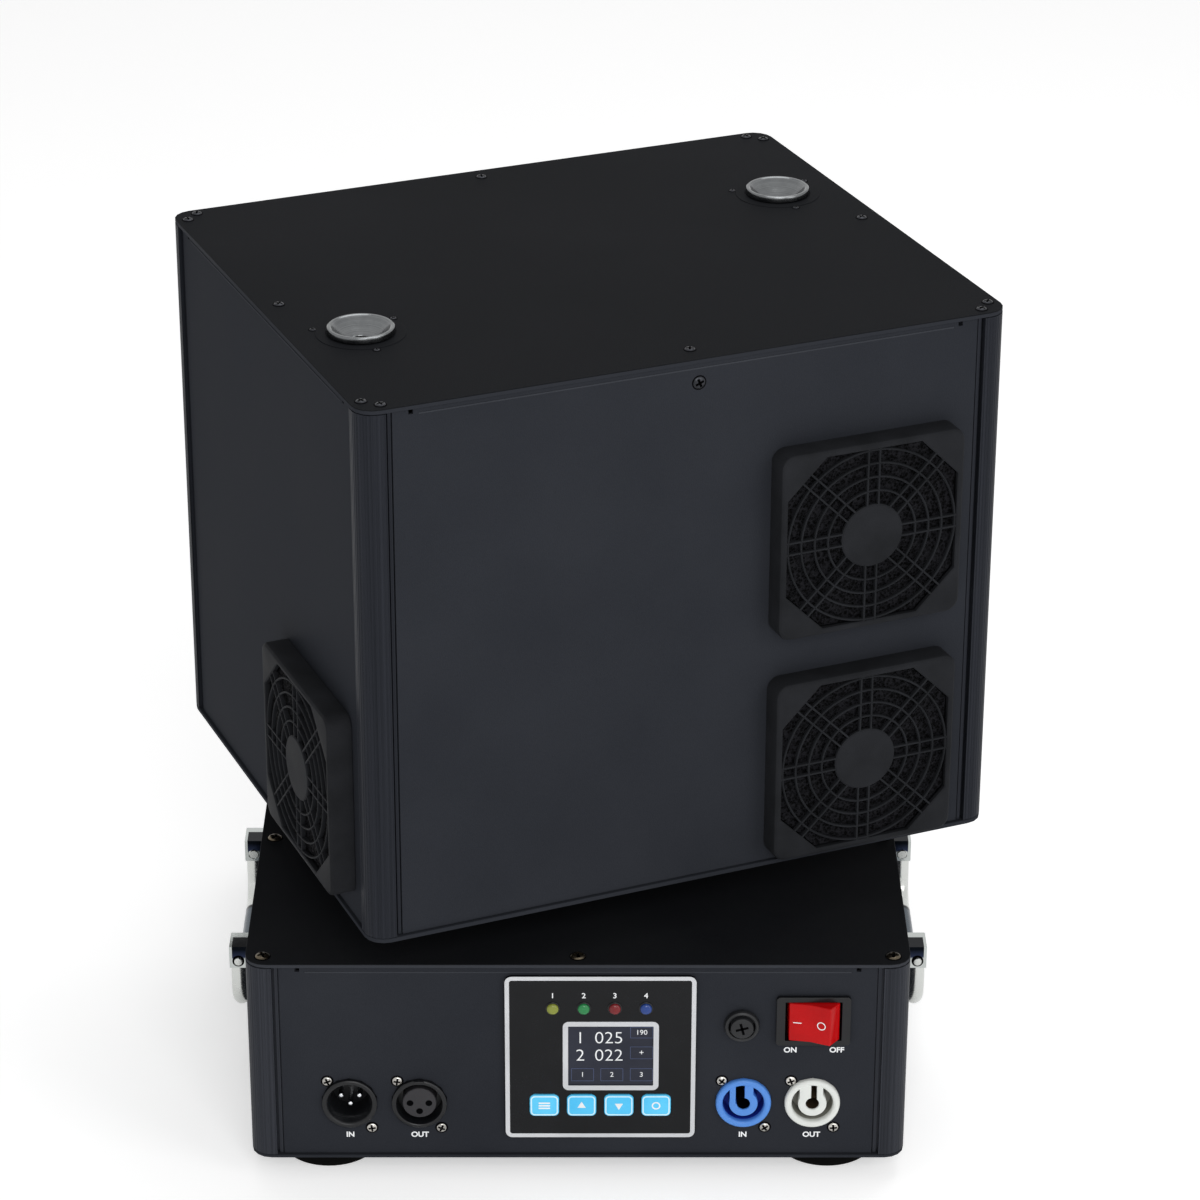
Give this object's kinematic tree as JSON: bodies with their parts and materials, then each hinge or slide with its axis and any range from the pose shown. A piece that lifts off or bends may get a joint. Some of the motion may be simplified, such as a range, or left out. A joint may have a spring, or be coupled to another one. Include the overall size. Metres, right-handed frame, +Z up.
{
  "type": "cold spark machine",
  "caption": "Stage effect machine: a turning box with upward spark nozzles and guarded cooling fans on a base box with a control panel and fold-down carrying handles.",
  "frame": {"origin": "on the floor, at the middle of the bounding box and under the axis that the upper box turns about", "axes": "+Z up along the turning axis, -Y towards the control panel's front, +X to the right of someone who faces that panel"},
  "size_m": [0.3568, 0.333, 0.3802],
  "materials": {
    "painted_panel": "satin charcoal powder coat",
    "painted_plate": "fine textured near-black powder coat",
    "anodised_post": "dark satin anodised extrusion",
    "guard_plastic": "black moulded plastic",
    "moulded_black": "black moulded plastic",
    "foot_rubber": "black rubber",
    "chrome_plate": "bright chrome plate",
    "steel_part": "stainless steel, machined",
    "brass_part": "brass, machined",
    "overlay_gloss": "glossy black front overlay",
    "key_blue": "light blue membrane key",
    "rocker_red": "translucent red rocker",
    "inlet_blue": "blue moulded connector",
    "outlet_grey": "grey-white moulded connector"
  },
  "bodies": {
    "base": {"base_bottom_plate": "painted_plate", "base_top_plate": "painted_plate", "base_front_left_post": "anodised_post", "base_front_right_post": "anodised_post", "base_rear_right_post": "anodised_post", "base_rear_left_post": "anodised_post", "base_front_panel": "painted_panel", "base_right_panel": "painted_panel", "base_rear_panel": "painted_panel", "base_left_panel": "painted_panel", "foot_front_left": "foot_rubber", "foot_front_right": "foot_rubber", "foot_rear_right": "foot_rubber", "foot_rear_left": "foot_rubber", "handle_bracket_right": "chrome_plate", "handle_bracket_left": "chrome_plate", "display_overlay": "overlay_gloss", "signal_inlet": "moulded_black", "signal_outlet": "moulded_black", "power_inlet": "inlet_blue", "power_outlet": "outlet_grey", "fuse_holder": "moulded_black", "switch_housing": "moulded_black", "bearing_ring": "anodised_post", "turn_motor": "moulded_black"},
    "head": {"head_bottom_plate": "painted_plate", "head_top_plate": "painted_plate", "head_front_left_post": "anodised_post", "head_front_right_post": "anodised_post", "head_rear_right_post": "anodised_post", "head_rear_left_post": "anodised_post", "head_front_panel": "painted_panel", "head_right_panel": "painted_panel", "head_rear_panel": "painted_panel", "head_left_panel": "painted_panel", "turn_spindle": "steel_part", "nozzle_left": "steel_part", "nozzle_right": "steel_part", "fan_guard_front_lower": "guard_plastic", "fan_guard_front_upper": "guard_plastic", "fan_guard_right": "guard_plastic", "fan_guard_rear_lower": "guard_plastic", "fan_guard_rear_upper": "guard_plastic", "fan_guard_left": "guard_plastic"},
    "pinion": {"motor_pinion": "brass_part"},
    "fan_front_lower": {"fan_rotor_front_lower": "moulded_black"},
    "fan_front_upper": {"fan_rotor_front_upper": "moulded_black"},
    "fan_right": {"fan_rotor_right": "moulded_black"},
    "fan_rear_lower": {"fan_rotor_rear_lower": "moulded_black"},
    "fan_rear_upper": {"fan_rotor_rear_upper": "moulded_black"},
    "fan_left": {"fan_rotor_left": "moulded_black"},
    "feed_left": {"feed_screw_left": "steel_part"},
    "feed_right": {"feed_screw_right": "steel_part"},
    "key_1": {"key_1": "key_blue"},
    "key_2": {"key_2": "key_blue"},
    "key_3": {"key_3": "key_blue"},
    "key_4": {"key_4": "key_blue"},
    "switch_rocker": {"switch_rocker": "rocker_red"},
    "bail_right": {"handle_bail_right": "chrome_plate"},
    "bail_left": {"handle_bail_left": "chrome_plate"}
  },
  "joints": [
    {"name": "head_turn", "type": "hinge", "parent": "base", "child": "head", "pos_m": [0, 0, 0.134], "axis": [0, 0, 1], "continuous": true},
    {"name": "pinion_spin", "type": "hinge", "parent": "base", "child": "pinion", "pos_m": [0, 0.0577, 0.096], "axis": [0, 0, 1], "continuous": true},
    {"name": "fan_front_lower_spin", "type": "hinge", "parent": "head", "child": "fan_front_lower", "pos_m": [0.11724, -0.07609, 0.1825], "axis": [0.3843, -0.9232, 0], "continuous": true},
    {"name": "fan_front_upper_spin", "type": "hinge", "parent": "head", "child": "fan_front_upper", "pos_m": [0.11724, -0.07609, 0.2885], "axis": [0.3843, -0.9232, 0], "continuous": true},
    {"name": "fan_right_spin", "type": "hinge", "parent": "head", "child": "fan_right", "pos_m": [0.10408, 0.10723, 0.1895], "axis": [0.9232, 0.3843, 0], "continuous": true},
    {"name": "fan_rear_lower_spin", "type": "hinge", "parent": "head", "child": "fan_rear_lower", "pos_m": [-0.11724, 0.07609, 0.1825], "axis": [-0.3843, 0.9232, 0], "continuous": true},
    {"name": "fan_rear_upper_spin", "type": "hinge", "parent": "head", "child": "fan_rear_upper", "pos_m": [-0.11724, 0.07609, 0.2885], "axis": [-0.3843, 0.9232, 0], "continuous": true},
    {"name": "fan_left_spin", "type": "hinge", "parent": "head", "child": "fan_left", "pos_m": [-0.10408, -0.10723, 0.1895], "axis": [-0.9232, -0.3843, 0], "continuous": true},
    {"name": "feed_left_spin", "type": "hinge", "parent": "head", "child": "feed_left", "pos_m": [-0.08964, -0.08389, 0.3223], "axis": [0, 0, 1], "continuous": true},
    {"name": "feed_right_spin", "type": "hinge", "parent": "head", "child": "feed_right", "pos_m": [0.08964, 0.08389, 0.3223], "axis": [0, 0, 1], "continuous": true},
    {"name": "key_1_press", "type": "slide", "parent": "base", "child": "key_1", "axis": [0, 1, 0], "range_m": [0, 0.0008], "stiffness_N_per_m": 600},
    {"name": "key_2_press", "type": "slide", "parent": "base", "child": "key_2", "axis": [0, 1, 0], "range_m": [0, 0.0008], "stiffness_N_per_m": 600},
    {"name": "key_3_press", "type": "slide", "parent": "base", "child": "key_3", "axis": [0, 1, 0], "range_m": [0, 0.0008], "stiffness_N_per_m": 600},
    {"name": "key_4_press", "type": "slide", "parent": "base", "child": "key_4", "axis": [0, 1, 0], "range_m": [0, 0.0008], "stiffness_N_per_m": 600},
    {"name": "switch_rock", "type": "hinge", "parent": "base", "child": "switch_rocker", "pos_m": [0.1015, -0.1404, 0.0819], "axis": [0, 0, 1], "range_deg": [0, 32]},
    {"name": "bail_right_swing", "type": "hinge", "parent": "base", "child": "bail_right", "pos_m": [0.1534, 0, 0.0605], "axis": [0, -1, 0], "range_deg": [0, 90]},
    {"name": "bail_left_swing", "type": "hinge", "parent": "base", "child": "bail_left", "pos_m": [-0.1534, 0, 0.0605], "axis": [0, 1, 0], "range_deg": [0, 90]}
  ],
  "couplings": [
    {"joint": "pinion_spin", "follows": "head_turn", "ratio": -3}
  ]
}
